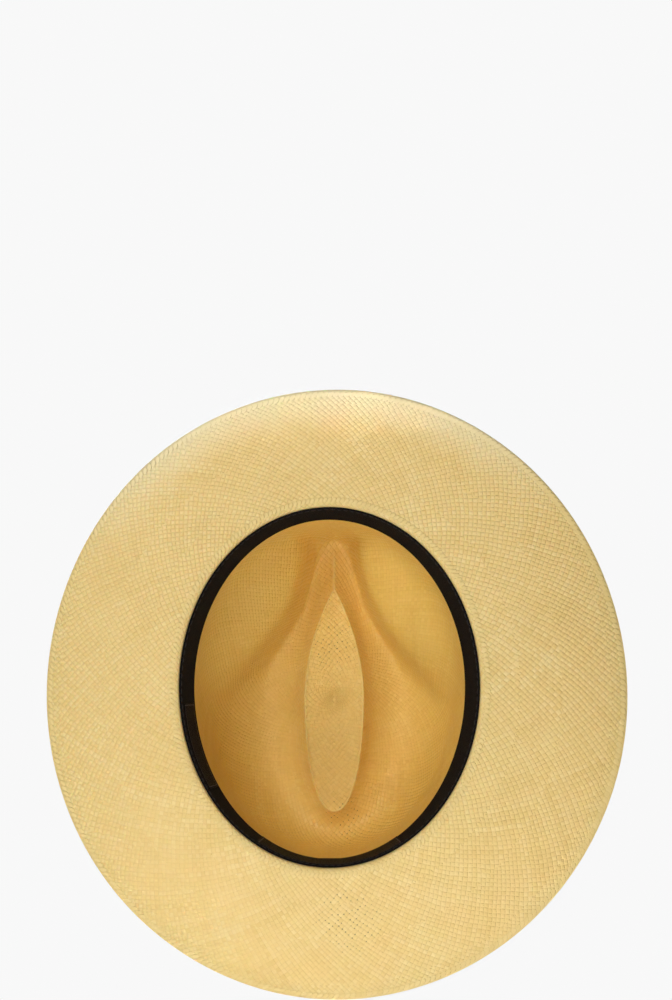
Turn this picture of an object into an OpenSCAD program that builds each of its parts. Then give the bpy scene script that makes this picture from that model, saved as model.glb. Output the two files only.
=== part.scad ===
// Panama hat: a woven straw body with a teardrop crown, lined by a twill sweatband with sewn labels,
// and trimmed by a ribbon with a flat bow.
// The front of the hat faces -Y, the wearer's left is +X and the crown points to +Z.
// The origin is the middle of the head opening, in the plane where the brim leaves the crown.

/* [Fit] */
// Distance round the head, inside the sweatband
head_circumference = 560; // [540:5:590]
// Length of the head oval over its width
oval_ratio = 1.2; // [1.16:0.01:1.24]

/* [Straw] */
// Thickness of the weave
straw_t = 1.2; // [1:0.1:1.6]
// Thickness of the back-woven edge of the brim
rim_t = 2; // [1.6:0.1:2.4]

/* [Crown] */
// Height of the ridge round the dent
crown_height = 106; // [98:1:114]
// Share of the half width that the front pinches take away
pinch_depth = 0.5; // [0.35:0.01:0.52]
// How far the hand-blocked dent sits to the wearer's left of the crown's middle
dent_shift = 2.5; // [0:0.5:4]

/* [Brim] */
// Half of the brim's width, seen from above
brim_half_width = 159; // [150:1:170]
// Half of the brim's length, seen from above
brim_half_length = 165; // [155:1:175]
// How far the hand-woven brim sits to the wearer's left of the crown's middle
brim_shift_left = 4; // [0:0.5:5]
// How far the brim sits behind the crown's middle
brim_shift_back = 5; // [0:0.5:8]
// Height of the brim's edge at the front, which dips
brim_front_z = -5; // [-10:1:0]
// Height of the brim's edge at the sides, which curl up
brim_side_z = 15; // [8:1:22]
// Height of the brim's edge at the back
brim_back_z = 10; // [4:1:16]

/* [Sweatband and labels] */
// Width of the twill tape
sweatband_w = 30; // [26:1:32]
// Thickness of the twill tape
sweatband_t = 0.8; // [0.6:0.1:1]
// Gap behind the free upper edge of the sweatband
sweatband_gap = 1.7; // [1.6:0.1:2]
// Thickness of a woven label
label_t = 0.35; // [0.3:0.05:0.5]
// Width of the folded size tab
tab_w = 11.5; // [9:0.5:13]
// Length of the size tab above the sweatband
tab_l = 15; // [12:1:18]
// Thickness of the folded size tab
tab_t = 0.6; // [0.5:0.05:0.6]

/* [Ribbon and bow] */
// Width of the grosgrain ribbon
ribbon_w = 38; // [34:1:40]
// Thickness of the ribbon
ribbon_t = 0.6; // [0.5:0.1:0.8]
// Thickness of a bow loop at its middle
bow_loop_t = 2.6; // [2.2:0.1:3]

/* [Thread] */
// Thickness of the sewing thread
thread_d = 0.5; // [0.4:0.05:0.6]

/* [Hidden] */

// Head oval. Its perimeter follows from the two half axes by Ramanujan's first-order rule.
oval_h = pow((oval_ratio - 1) / (oval_ratio + 1), 2);
head_half_w = head_circumference / (PI * (1 + oval_ratio) * (1 + oval_h / 4));
wall_half_w = head_half_w + sweatband_t;
wall_half_l = head_half_w * oval_ratio + sweatband_t;

// The straw turns from brim to crown round a small radius.
turn_r = 2.6;

// Plan rings that the crown is blocked to, from the foot of the wall up over the ridge and down to the
// crease of the dent. Each holds, in turn:
// heights at front, side and back, as shares of crown_height;
// half sizes at side, front and back and the place of the widest point, as shares of the wall's foot;
// powers that make its front and back round (1), pointed (2) or blunt (under 1);
// the pinch's share, the degrees it takes to fade out behind its deepest place, and how far it drops;
// the share of the dent's shift.
FOOT     = [[0.025, 0.025, 0.025], [1.000, 1.000, 1.000, 0.00], [1.0, 1.00], [0.00, 42, 0], 0];
LOW_WALL = [[0.085, 0.085, 0.085], [0.991, 0.996, 1.000, 0.00], [1.0, 1.00], [0.00, 42, 0], 0];
BAND_TOP = [[0.308, 0.308, 0.308], [0.950, 0.978, 1.000, 0.00], [1.0, 1.00], [0.00, 42, 0], 0];
MID_WALL = [[0.566, 0.566, 0.566], [0.890, 0.956, 0.990, 0.02], [1.0, 1.00], [0.16, 60, 0], 0];
SHOULDER = [[0.800, 0.785, 0.775], [0.815, 0.930, 0.965, 0.06], [1.0, 1.00], [1.08, 56, 0.12], 0.3];
TOP_TURN = [[0.935, 0.925, 0.885], [0.670, 0.897, 0.925, 0.09], [1.1, 1.00], [1.08, 51, 0.05], 0.7];
RIDGE    = [[1.000, 0.995, 0.930], [0.483, 0.860, 0.865, 0.11], [1.2, 0.95], [0.88, 40, 0], 1];
SLOPE    = [[0.975, 0.930, 0.915], [0.295, 0.720, 0.795, 0.09], [1.5, 0.90], [0.46, 40, 0], 1];
CREASE   = [[0.895, 0.815, 0.860], [0.208, 0.590, 0.735, 0.07], [2.0, 0.92], [0.00, 42, 0], 1];
RINGS = [FOOT, LOW_WALL, BAND_TOP, MID_WALL, SHOULDER, TOP_TURN, RIDGE, SLOPE, CREASE];
// Height of the dent's floor at its middle, as a share of crown_height
floor_share = 0.83;

// Distance up the straw at each ring, counted from the brim's root: the turn first, then the rings.
foot_u = 1.6 * turn_r;
band_top_u = foot_u + sweatband_w;
KNOTS = [0, foot_u / 2, foot_u, foot_u + 6.4, band_top_u, band_top_u + 28, band_top_u + 53, band_top_u + 71,
         band_top_u + 88, band_top_u + 106, band_top_u + 119];
crease_u = KNOTS[len(KNOTS) - 1];

// Angles round the hat, counted from the front towards the wearer's left.
turn_step = 5;
AROUND = [0:turn_step:360 - turn_step];
left_side = 90;
back_side = 180;

// Rows of the straw, from the crease of the dent down the wall to the edge of the brim.
// Values below 0 are shares of the brim.
ribbon_low_u = foot_u + 1;
ribbon_high_u = ribbon_low_u + ribbon_w;
seam_u = foot_u + 3;
CROWN_ROWS = [crease_u, band_top_u + 113, band_top_u + 106, band_top_u + 97, band_top_u + 88, band_top_u + 80,
              band_top_u + 71, band_top_u + 62, band_top_u + 53, band_top_u + 41, band_top_u + 28,
              band_top_u + 18, ribbon_high_u, band_top_u - 4, band_top_u - 16, seam_u, ribbon_low_u, foot_u,
              foot_u / 2, 0];
BRIM_ROWS = [-0.16, -0.32, -0.48, -0.64, -0.8, -0.93, -1];
FLOOR_ROWS = [0.35, 0.7];
rim_from = -0.93;

// A value that changes smoothly from front to side to back.
function around(front, side, back, a) = side + ((cos(a) > 0 ? front : back) - side) * pow(cos(a), 2);

// Depth of the pinch at an angle: a rounded hollow on each side of the front.
pinch_a = 42;
pinch_round = 1.35;
function from_front(a) = a > 180 ? 360 - a : a;
function pinch(a, fade) =
    let (d = from_front(a) - pinch_a, u = abs(d) / (d < 0 ? pinch_a : fade))
    u < 1 ? pinch_depth * pow(cos(90 * pow(u, pinch_round)), 2) : 0;

// Point of a plan ring: round or pointed ends, drawn in by the pinch.
function ring_point(ring, a) =
    let (plan = ring[1], middle = plan[3] * wall_half_l, power = cos(a) > 0 ? ring[2][0] : ring[2][1],
         reach = (cos(a) > 0 ? plan[1] : plan[2]) * wall_half_l + (cos(a) > 0 ? middle : -middle),
         pinched = pinch(a, ring[3][1]), half = plan[0] * wall_half_w * (1 - ring[3][0] * pinched))
    [dent_shift * ring[4] + sign(sin(a)) * half * pow(abs(sin(a)), power), middle - reach * cos(a),
     crown_height * (around(ring[0][0], ring[0][1], ring[0][2], a) - ring[3][2] * pinched)];

// Oval that is wider than the foot of the wall by grow, at height z.
function oval_point(grow, z, a) = [(wall_half_w + grow) * sin(a), -(wall_half_l + grow) * cos(a), z];

// Control points up the straw at an angle: the turn out of the brim, then the rings.
function meridian(a) = concat([oval_point(turn_r, 0, a), oval_point(0.22 * turn_r, 0.33 * turn_r, a)],
                              [for (ring = RINGS) ring_point(ring, a)]);

// Smooth curve through points p at knots k.
function slope_at(k, p, i) =
    i == 0 ? (p[1] - p[0]) / (k[1] - k[0])
    : i == len(k) - 1 ? (p[i] - p[i - 1]) / (k[i] - k[i - 1])
    : let (before = k[i] - k[i - 1], after = k[i + 1] - k[i])
      ((p[i + 1] - p[i]) / after * before + (p[i] - p[i - 1]) / before * after) / (before + after);
function span_of(k, u, i = 0) = i >= len(k) - 2 || u <= k[i + 1] ? i : span_of(k, u, i + 1);
function curve(k, p, u) =
    let (i = span_of(k, u), w = k[i + 1] - k[i], t = (u - k[i]) / w)
    p[i] * (1 + 2 * t) * pow(1 - t, 2) + slope_at(k, p, i) * w * t * pow(1 - t, 2)
    + p[i + 1] * t * t * (3 - 2 * t) + slope_at(k, p, i + 1) * w * t * t * (t - 1);

// Underside of the brim, at share s from its root to its edge.
function brim_point(s, a) =
    let (root = oval_point(turn_r, 0, a),
         edge = [brim_shift_left + brim_half_width * sin(a), brim_shift_back - brim_half_length * cos(a)],
         z = around(brim_front_z, brim_side_z, brim_back_z, a))
    [root[0] + (edge[0] - root[0]) * s, root[1] + (edge[1] - root[1]) * s, z * s * s];

// Inner face of the straw: crown for u of 0 or more, brim below 0.
function straw_point(u, a) = u < 0 ? brim_point(-u, a) : curve(KNOTS, meridian(a), u);

// Unit normal of the straw, out of the crown and up from the brim.
near = 0.01;
function straw_normal(u, a) =
    let (round_it = straw_point(u, a + near) - straw_point(u, a - near),
         along_it = straw_point(min(u + near, crease_u), a) - straw_point(max(u - near, -1), a),
         n = cross(round_it, along_it))
    n / norm(n);

// Direction of the straw's thickness: its normal, which turns upright down the slope of the dent so that
// the two sides of the narrow crease stay apart.
slope_u = KNOTS[len(KNOTS) - 2];
function lift_way(u, a) =
    let (share = max(0, (u - slope_u) / (crease_u - slope_u)),
         way = straw_normal(u, a) * (1 - share) + [0, 0, share])
    way / norm(way);

// Point off the straw's inner face: lift is outward, and below 0 it is into the crown.
function skin(u, a, lift) = straw_point(u, a) + lift * lift_way(u, a);

// Floor of the dent, inside the crease.
function floor_point(share, a, lift) =
    let (edge = skin(crease_u, a, lift), middle = CREASE[1][3] * wall_half_l,
         z = crown_height * floor_share + lift)
    [dent_shift + (edge[0] - dent_shift) * share, middle + (edge[1] - middle) * share,
     z + (edge[2] - z) * share * share];

// Solids from rows of points. Rows run down the outside and back up the inside. Both sides are cut into
// triangles along the same diagonals, so that a solid's outside fits another's inside.
function between(rows_n, n, i, j) =
    let (k = (i + 1) % rows_n, m = (j + 1) % n, a = i * n + j, b = i * n + m, c = k * n + m, d = k * n + j)
    i < rows_n / 2 ? [[a, b, c], [a, c, d]] : [[a, b, d], [b, c, d]];

// A shell that is closed at a pole on each side.
module domed_shell(rows, top_pole, under_pole) {
    n = len(rows[0]);
    last = len(rows) - 1;
    points = concat([for (row = rows) each row], [top_pole, under_pole]);
    top = len(points) - 2;
    walls = [for (i = [0:last - 1], j = [0:n - 1]) each between(len(rows), n, i, j)];
    caps = [for (j = [0:n - 1]) each [[top, (j + 1) % n, j],
                                      [last * n + j, last * n + (j + 1) % n, top + 1]]];
    polyhedron(points, concat(walls, caps));
}

// A band that runs all the way round.
module round_band(rows) {
    n = len(rows[0]);
    polyhedron([for (row = rows) each row],
               [for (i = [0:len(rows) - 1], j = [0:n - 1]) each between(len(rows), n, i, j)]);
}

// A patch with two ends.
module patch(rows) {
    n = len(rows[0]);
    m = len(rows);
    walls = [for (i = [0:m - 1], j = [0:n - 2]) each between(m, n, i, j)];
    ends = [for (i = [1:m - 2]) each [[0, i * n, (i + 1) * n],
                                      [n - 1, (i + 1) * n + n - 1, i * n + n - 1]]];
    polyhedron([for (row = rows) each row], concat(walls, ends));
}

// One stitch: a length of thread between two points.
module stitch(from, to) {
    way = to - from;
    translate(from)
        rotate([0, acos(way[2] / norm(way)), atan2(way[1], way[0])])
            cylinder(h = norm(way), d = thread_d, $fn = 6);
}

// Crown and brim, woven in one piece.
function straw_lift(u) = u <= rim_from ? rim_t : straw_t;
module straw_body() {
    outside = concat([for (s = FLOOR_ROWS) [for (a = AROUND) floor_point(s, a, straw_t)]],
                     [for (u = concat(CROWN_ROWS, BRIM_ROWS)) [for (a = AROUND) skin(u, a, straw_lift(u))]]);
    inside = concat([for (s = FLOOR_ROWS) [for (a = AROUND) floor_point(s, a, 0)]],
                    [for (u = concat(CROWN_ROWS, BRIM_ROWS)) [for (a = AROUND) skin(u, a, 0)]]);
    middle = CREASE[1][3] * wall_half_l;
    floor_z = crown_height * floor_share;
    color("burlywood")
        domed_shell(concat(outside, [for (i = [len(inside) - 1:-1:0]) inside[i]]),
                    [dent_shift, middle, floor_z + straw_t], [dent_shift, middle, floor_z]);
}

// The sweatband is sewn along its lower edge and stands off the straw towards its free upper edge.
back_label_high = band_top_u - 0.5;
side_label_high = band_top_u - 3;
side_label_low = band_top_u - 23;
back_label_low = band_top_u - 24.5;
BAND_ROWS = [band_top_u, back_label_high, side_label_high, band_top_u - 13, side_label_low, back_label_low,
             seam_u, ribbon_low_u, foot_u];
function band_point(u, a, depth) =
    let (share = max(0, (u - seam_u) / (band_top_u - seam_u)))
    skin(u, a, -sweatband_gap * share) - depth * straw_normal(band_top_u, a);

module sweatband() {
    color([0.08, 0.07, 0.08])
        round_band(concat([for (u = BAND_ROWS) [for (a = AROUND) band_point(u, a, 0)]],
                          [for (i = [len(BAND_ROWS) - 1:-1:0])
                              [for (a = AROUND) band_point(BAND_ROWS[i], a, sweatband_t)]]));
}

// Row of stitches that holds the sweatband to the foot of the crown.
module sweatband_stitches() {
    half = 0.36;
    u = foot_u + 1.5;
    color([0.12, 0.11, 0.12])
        for (a = AROUND)
            stitch(band_point(u, a + turn_step * (0.5 - half), sweatband_t),
                   band_point(u, a + turn_step * (0.5 + half), sweatband_t));
}

// Woven labels lie on the sweatband's inner face.
back_label_from = back_side - 6 * turn_step;
back_label_to = back_side + 6 * turn_step;
side_label_from = back_side + 11 * turn_step;
side_label_to = back_side + 17 * turn_step;

module label(from, to, low, high) {
    angles = [for (a = [from:turn_step:to]) a];
    rows = [for (u = BAND_ROWS) if (u <= high && u >= low) u];
    color([0.05, 0.04, 0.06])
        patch(concat([for (u = rows) [for (a = angles) band_point(u, a, sweatband_t)]],
                     [for (i = [len(rows) - 1:-1:0])
                         [for (a = angles) band_point(rows[i], a, sweatband_t + label_t)]]));
}
module back_label() { label(back_label_from, back_label_to, back_label_low, back_label_high); }
module side_label() { label(side_label_from, side_label_to, side_label_low, side_label_high); }

// A short column of stitches down each end of a label.
module label_stitches(from, to, low, high) {
    inset_a = 0.8;
    count = 7;
    pitch = (high - low) / count;
    sunk = sweatband_t + 0.6 * label_t;
    color([0.2, 0.19, 0.22])
        for (a = [from + inset_a, to - inset_a], i = [0:count - 1])
            stitch(band_point(low + pitch * (i + 0.2), a, sunk), band_point(low + pitch * (i + 0.8), a, sunk));
}
module back_label_stitches() {
    label_stitches(back_label_from, back_label_to, back_label_low, back_label_high);
}
module side_label_stitches() {
    label_stitches(side_label_from, side_label_to, side_label_low, side_label_high);
}

// The size tab is a folded loop of label tape. Its root is sewn in behind the sweatband, and its free end
// bends inward over the sweatband's upper edge.
tab_clear = 0.85;
tab_fold = straw_point(band_top_u, back_side) + [0, -tab_clear, 0.8];
tab_root_l = 4;
tab_lean = 3;
fold_gap = 0.05;
module size_tab_root() {
    color([0.05, 0.04, 0.06])
        translate(tab_fold + [-tab_w / 2, -tab_t / 2, -tab_t / 2 - fold_gap - tab_root_l])
            cube([tab_w, tab_t, tab_root_l]);
}
module size_tab() {
    color([0.05, 0.04, 0.06])
        translate(tab_fold)
            rotate([tab_lean, 0, 0]) {
                translate([-tab_w / 2, 0, 0])
                    rotate([0, 90, 0])
                        cylinder(h = tab_w, d = tab_t, $fn = 24);
                translate([-tab_w / 2, -tab_t / 2, 0])
                    cube([tab_w, tab_t, tab_l]);
            }
}

// The ribbon lies on the outside of the crown.
RIBBON_ROWS = [for (u = CROWN_ROWS) if (u <= ribbon_high_u && u >= ribbon_low_u) u];
ribbon_face = straw_t + ribbon_t;
module hat_ribbon() {
    color([0.07, 0.07, 0.08])
        round_band(concat([for (u = RIBBON_ROWS) [for (a = AROUND) skin(u, a, ribbon_face)]],
                          [for (i = [len(RIBBON_ROWS) - 1:-1:0])
                              [for (a = AROUND) skin(RIBBON_ROWS[i], a, straw_t)]]));
}

// Short tacks along the ribbon's upper edge.
module ribbon_tacks() {
    tack_l = 2.4;
    color([0.12, 0.12, 0.13])
        for (a = [0:60:300])
            stitch(skin(ribbon_high_u - tack_l, a, ribbon_face), skin(ribbon_high_u + 0.6, a, straw_t));
}

// The bow is sewn over the ribbon's join, on the wearer's left. A piece of it runs along the ribbon
// between two angles, with its own half height and thickness at each, over what lies beneath.
// A slant cuts its last end at an angle.
ribbon_mid_u = (ribbon_low_u + ribbon_high_u) / 2;
ribbon_seat = 0.3;
layer_seat = 0.15;
module bow_piece(angles, half_height, base, thick, slant = 0) {
    shares = [1, 0.6, 0, -0.6, -1];
    steps = [0:len(angles) - 1];
    function bulge(s) = 0.45 + 0.55 * (1 - s * s);
    function at(i, s, lift) = skin(ribbon_mid_u + half_height[i] * s,
                                   left_side + angles[i] + (i == len(angles) - 1 ? slant * s : 0), lift);
    color([0.07, 0.07, 0.08])
        patch(concat([for (s = shares) [for (i = steps) at(i, s, base + thick[i] * bulge(s))]],
                     [for (s = -shares) [for (i = steps) at(i, s, base)]]));
}

tail_base = ribbon_face + ribbon_seat;
loop_base = tail_base + ribbon_t + layer_seat;
knot_a = 4.2;
LOOP_A = [4.5, 9, 13.5, 18, 22];
LOOP_HALF = [0.33, 0.42, 0.46, 0.47, 0.45] * ribbon_w;
LOOP_THICK = [0.55, 0.9, 1, 0.85, 0.4] * bow_loop_t;
TAIL_A = [for (a = [-20:5:25]) a];
function backward(list) = [for (i = [len(list) - 1:-1:0]) list[i]];

module bow_tail() {
    bow_piece(concat(TAIL_A, [29]), [for (i = [0:len(TAIL_A)]) 0.44 * ribbon_w], tail_base,
              [for (i = [0:len(TAIL_A)]) ribbon_t], 2.5);
}
module bow_front_loop() {
    bow_piece(-backward(LOOP_A), backward(LOOP_HALF), loop_base, backward(LOOP_THICK));
}
module bow_back_loop() {
    bow_piece(LOOP_A, LOOP_HALF, loop_base, LOOP_THICK);
}
module bow_knot() {
    bow_piece([-knot_a, 0, knot_a], [0.40, 0.41, 0.40] * ribbon_w, loop_base, [0.9, 1.25, 0.9] * bow_loop_t);
}

// Tacks through the ends of the bow's loops.
tack_a = 20.5;
module bow_tacks() {
    color([0.12, 0.12, 0.13])
        for (a = [left_side - tack_a, left_side + tack_a], s = [-0.3, 0.3])
            stitch(skin(ribbon_mid_u + s * ribbon_w, a, ribbon_face),
                   skin(ribbon_mid_u + s * ribbon_w + 1.2, a, loop_base + 0.7 * bow_loop_t));
}

straw_body();
sweatband();
sweatband_stitches();
back_label();
back_label_stitches();
side_label();
side_label_stitches();
size_tab_root();
size_tab();
hat_ribbon();
ribbon_tacks();
bow_tail();
bow_front_loop();
bow_back_loop();
bow_knot();
bow_tacks();
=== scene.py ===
import math

import bmesh
import bpy
import numpy as np
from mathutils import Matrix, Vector


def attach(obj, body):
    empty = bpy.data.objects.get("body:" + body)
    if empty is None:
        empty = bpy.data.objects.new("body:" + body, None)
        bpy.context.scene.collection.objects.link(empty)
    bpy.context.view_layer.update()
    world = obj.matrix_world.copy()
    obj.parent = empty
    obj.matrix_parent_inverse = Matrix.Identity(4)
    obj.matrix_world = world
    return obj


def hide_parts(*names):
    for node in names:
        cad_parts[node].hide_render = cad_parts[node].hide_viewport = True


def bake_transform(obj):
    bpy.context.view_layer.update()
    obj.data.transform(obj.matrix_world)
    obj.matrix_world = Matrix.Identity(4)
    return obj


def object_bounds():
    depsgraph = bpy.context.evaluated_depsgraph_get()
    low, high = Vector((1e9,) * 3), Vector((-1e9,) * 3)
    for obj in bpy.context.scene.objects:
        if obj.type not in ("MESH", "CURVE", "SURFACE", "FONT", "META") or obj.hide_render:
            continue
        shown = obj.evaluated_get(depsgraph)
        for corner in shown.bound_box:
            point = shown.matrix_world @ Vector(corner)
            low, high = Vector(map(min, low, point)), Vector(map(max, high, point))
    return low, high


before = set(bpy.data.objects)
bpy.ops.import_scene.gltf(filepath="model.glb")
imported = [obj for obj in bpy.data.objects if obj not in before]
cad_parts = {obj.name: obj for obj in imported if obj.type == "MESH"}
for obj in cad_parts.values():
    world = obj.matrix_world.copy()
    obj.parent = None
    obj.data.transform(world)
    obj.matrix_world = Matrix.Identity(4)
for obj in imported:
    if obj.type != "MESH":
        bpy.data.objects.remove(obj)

cad_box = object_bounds()
scene = bpy.context.scene


# Straw body
# Crown and brim in one plain weave of flat toquilla straw, blocked to a teardrop dent with two front
# pinches. New straws are woven in ring by ring as it widens, and the brim's edge is woven back on itself.

MM = 0.001
HEAD_ROUND = 560.0
HEAD_RATIO = 1.2
TAPE_T = 0.8
STRAW_T = 1.2
RIM_T = 2.0
CROWN_H = 106.0
FLOOR_Z = 0.83 * CROWN_H
PINCH_DEPTH = 0.5
PINCH_A = 42.0
PINCH_ROUND = 1.35
DENT_SHIFT = 2.5
TURN_R = 2.6
BRIM_HALF = (159.0, 165.0)
BRIM_SHIFT = (4.0, 5.0)
BRIM_Z = (-5.0, 15.0, 10.0)

oval_h = ((HEAD_RATIO - 1) / (HEAD_RATIO + 1)) ** 2
head_half = HEAD_ROUND / (math.pi * (1 + HEAD_RATIO) * (1 + oval_h / 4))
WALL_W = head_half + TAPE_T
WALL_L = head_half * HEAD_RATIO + TAPE_T

# Plan rings of the block: heights at front, side and back; half sizes at side, front and back and the
# widest place; roundness of front and back; pinch share, fade and drop; share of the dent's shift.
RINGS = [
    ((0.025, 0.025, 0.025), (1.000, 1.000, 1.000, 0.00), (1.0, 1.00), (0.00, 42, 0.0), 0.0),
    ((0.085, 0.085, 0.085), (0.991, 0.996, 1.000, 0.00), (1.0, 1.00), (0.00, 42, 0.0), 0.0),
    ((0.308, 0.308, 0.308), (0.950, 0.978, 1.000, 0.00), (1.0, 1.00), (0.00, 42, 0.0), 0.0),
    ((0.566, 0.566, 0.566), (0.890, 0.956, 0.990, 0.02), (1.0, 1.00), (0.16, 60, 0.0), 0.0),
    ((0.800, 0.785, 0.775), (0.815, 0.930, 0.965, 0.06), (1.0, 1.00), (1.08, 56, 0.12), 0.3),
    ((0.935, 0.925, 0.885), (0.670, 0.897, 0.925, 0.09), (1.1, 1.00), (1.08, 51, 0.05), 0.7),
    ((1.000, 0.995, 0.930), (0.483, 0.860, 0.865, 0.11), (1.2, 0.95), (0.88, 40, 0.0), 1.0),
    ((0.975, 0.930, 0.915), (0.295, 0.720, 0.795, 0.09), (1.5, 0.90), (0.46, 40, 0.0), 1.0),
    ((0.895, 0.815, 0.860), (0.208, 0.590, 0.735, 0.07), (2.0, 0.92), (0.00, 42, 0.0), 1.0),
]
FOOT_U = 1.6 * TURN_R
TAPE_W = 30.0
BAND_U = FOOT_U + TAPE_W
KNOTS = np.array([0, FOOT_U / 2, FOOT_U, FOOT_U + 6.4, BAND_U, BAND_U + 28, BAND_U + 53, BAND_U + 71,
                  BAND_U + 88, BAND_U + 106, BAND_U + 119])
SLOPE_U, CREASE_U = KNOTS[-2], KNOTS[-1]
DENT_MID = RINGS[-1][1][3] * WALL_L


def around(front, side, back, a):
    c = np.cos(a)
    return side + (np.where(c > 0, front, back) - side) * c ** 2


def pinch(a, fade):
    from_front = np.degrees(np.abs((a + np.pi) % (2 * np.pi) - np.pi))
    d = from_front - PINCH_A
    t = np.abs(d) / np.where(d < 0, PINCH_A, fade)
    return np.where(t < 1, PINCH_DEPTH * np.cos(np.pi / 2 * t ** PINCH_ROUND) ** 2, 0)


def ring_points(ring, a):
    heights, (side, front, back, widest), power, (share, fade, drop), shift = ring
    c, s = np.cos(a), np.sin(a)
    mid = widest * WALL_L
    reach = np.where(c > 0, front * WALL_L + mid, back * WALL_L - mid)
    half = side * WALL_W * (1 - share * pinch(a, fade))
    x = DENT_SHIFT * shift + np.sign(s) * half * np.abs(s) ** np.where(c > 0, power[0], power[1])
    return np.stack([x, mid - reach * c, CROWN_H * (around(*heights, a) - drop * pinch(a, fade))], -1)


def oval(grow, z, a):
    return np.stack([(WALL_W + grow) * np.sin(a), -(WALL_L + grow) * np.cos(a), np.full_like(a, z)], -1)


def spline(knots, p, u):
    step = np.diff(knots)[:, None, None]
    rise = np.diff(p, axis=0) / step
    slope = np.concatenate([rise[:1], (rise[1:] * step[:-1] + rise[:-1] * step[1:]) / (step[1:] + step[:-1]),
                            rise[-1:]])
    i = np.clip(np.searchsorted(knots, u, side="left") - 1, 0, len(knots) - 2)
    w = step[i]
    t = (u - knots[i])[:, None, None] / w
    return (p[i] * (1 + 2 * t) * (1 - t) ** 2 + slope[i] * w * t * (1 - t) ** 2
            + p[i + 1] * t * t * (3 - 2 * t) + slope[i + 1] * w * t * t * (t - 1))


def straw_face(u, a):
    """Inner face of the straw in mm: u from 0 up is mm along the crown, below 0 it is a share of the brim."""
    face = np.empty((len(u), len(a), 3))
    crown = u >= 0
    meridian = np.stack([oval(TURN_R, 0, a), oval(0.22 * TURN_R, 0.33 * TURN_R, a)]
                        + [ring_points(ring, a) for ring in RINGS])
    face[crown] = spline(KNOTS, meridian, u[crown])
    root = oval(TURN_R, 0, a)
    edge = np.stack([BRIM_SHIFT[0] + BRIM_HALF[0] * np.sin(a), BRIM_SHIFT[1] - BRIM_HALF[1] * np.cos(a),
                     around(*BRIM_Z, a)], -1)
    s = -u[~crown][:, None, None]
    face[~crown] = root + (edge - root) * np.concatenate([s, s, s * s], -1)
    return face


def straw_normal(u, a):
    near = 0.01
    turn = math.radians(near)
    n = np.cross(straw_face(u, a + turn) - straw_face(u, a - turn),
                 straw_face(np.minimum(u + near, CREASE_U), a) - straw_face(np.maximum(u - near, -1), a))
    return n / np.linalg.norm(n, axis=-1, keepdims=True)


def skin(u, a, lift):
    """Points off the inner face: lift is out of the crown, one value or one for each row."""
    u, a = np.asarray(u, float), np.asarray(a, float)
    share = np.clip((u - SLOPE_U) / (CREASE_U - SLOPE_U), 0, None)[:, None, None]
    way = straw_normal(u, a) * (1 - share) + share * np.array([0, 0, 1.0])
    way /= np.linalg.norm(way, axis=-1, keepdims=True)
    return straw_face(u, a) + np.broadcast_to(lift, u.shape)[:, None, None] * way


def dent_floor(shares, a, lift):
    edge = skin([CREASE_U], a, lift)
    s = np.asarray(shares)[:, None, None]
    mid = np.array([DENT_SHIFT, DENT_MID, FLOOR_Z + lift])
    return mid + (edge - mid) * np.concatenate([s, s, s * s], -1)


def smooth(low, high, x):
    t = np.clip((x - low) / (high - low), 0, 1)
    return t * t * (3 - 2 * t)


def new_piece(name, points, faces, **uvs):
    """A closed, smooth-shaded mesh from points in mm, with named uv maps of one pair per face corner."""
    mesh = bpy.data.meshes.new(name)
    mesh.from_pydata((np.asarray(points) * MM).tolist(), [], [list(map(int, f)) for f in faces])
    for uv_name, pairs in uvs.items():
        layer = mesh.uv_layers.new(name=uv_name)
        layer.data.foreach_set("uv", np.asarray(pairs, np.float32).ravel())
    shell = bmesh.new()
    shell.from_mesh(mesh)
    bmesh.ops.recalc_face_normals(shell, faces=shell.faces[:])
    shell.to_mesh(mesh)
    shell.free()
    mesh.shade_smooth()
    piece = bpy.data.objects.new(name, mesh)
    scene.collection.objects.link(piece)
    return piece


ROUND = np.radians(np.arange(0, 360, 1.25))
FLOOR_ROWS = np.concatenate([np.linspace(0.06, 0.88, 12), [0.92, 0.945, 0.965, 0.98, 0.99]])
CROWN_ROWS = np.concatenate([CREASE_U - np.array([0, 0.4, 0.8, 1.2, 1.7, 2.4]),
                             np.linspace(CREASE_U - 3.2, BAND_U + 60, 38)[:-1],
                             np.linspace(BAND_U + 60, BAND_U, 30)[:-1],
                             np.linspace(BAND_U, FOOT_U, 12)[:-1], np.linspace(FOOT_U, 0, 7)])
BRIM_EDGE = 0.9935
BRIM_ROWS = -np.linspace(0, BRIM_EDGE, 38)[1:]
ROWS = np.concatenate([CROWN_ROWS, BRIM_ROWS])


# Hand blocking leaves waves: height in mm, waves round the hat, phase, and slant up the crown.
BRIM_WAVES = ((0.9, 3, 0.7), (0.5, 5, 2.1), (0.35, 8, 4.0))
CROWN_WAVES = ((0.35, 4, 1.0, 0.03), (0.25, 7, 0.0, -0.05))
CROWN_WAVE_IN = (BAND_U + 12, BAND_U + 40)
CROWN_WAVE_OUT = (CREASE_U, CREASE_U - 12)


def brim_wave(share, a):
    return smooth(0.25, 1.0, share) * sum(h * np.sin(k * a + phase) for h, k, phase in BRIM_WAVES)


def hand_shaped(grid):
    """Slight unevenness, on the crown above the ribbon and on the brim's outer half."""
    a, u = ROUND[None, :], ROWS[:, None]
    crown = sum(h * np.sin(k * a + phase + slant * u) for h, k, phase, slant in CROWN_WAVES)
    fade = smooth(*CROWN_WAVE_IN, u) * smooth(*CROWN_WAVE_OUT, u)
    grid[len(FLOOR_ROWS):, :, 2] += brim_wave(-u, a) + fade * crown
    return grid


CREASE_FOLD = 0.7
CREASE_HALF = 0.9
PROW_FADE = (BAND_U + 92, BAND_U + 102)
PROW_WIDE = 0.5


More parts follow.
